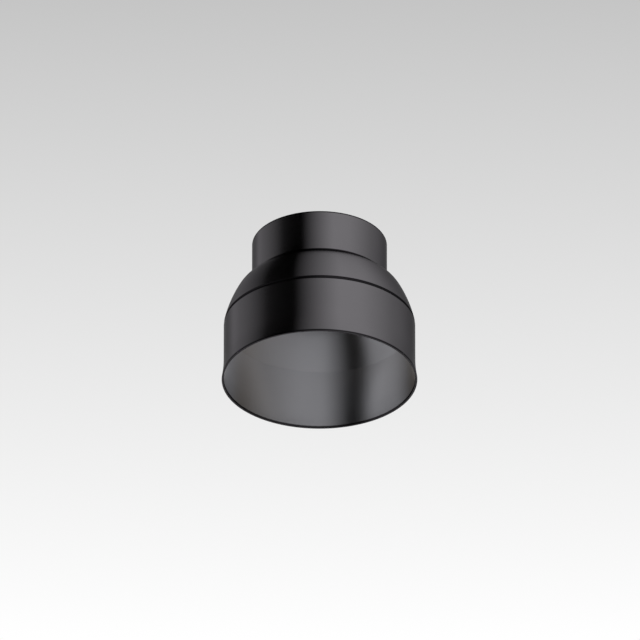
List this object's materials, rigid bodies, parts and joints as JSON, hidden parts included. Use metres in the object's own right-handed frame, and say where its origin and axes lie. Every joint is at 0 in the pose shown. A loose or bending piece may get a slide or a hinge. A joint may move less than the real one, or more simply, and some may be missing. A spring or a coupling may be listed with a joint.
{
  "type": "duct reducer",
  "caption": "Round sheet-steel flue reducer: a flared wide socket, a convex shoulder and a narrow spigot in one open shell.",
  "frame": {"origin": "centre of the lower plane of the wide socket's rim, on which the shell stands", "axes": "+Z along the duct's axis towards the narrow spigot"},
  "size_m": [0.1878, 0.1878, 0.15],
  "materials": {
    "shell": "satin black heat-resistant coating on spun steel"
  },
  "bodies": {
    "root": {"reducer_shell": "shell"}
  },
  "joints": []
}
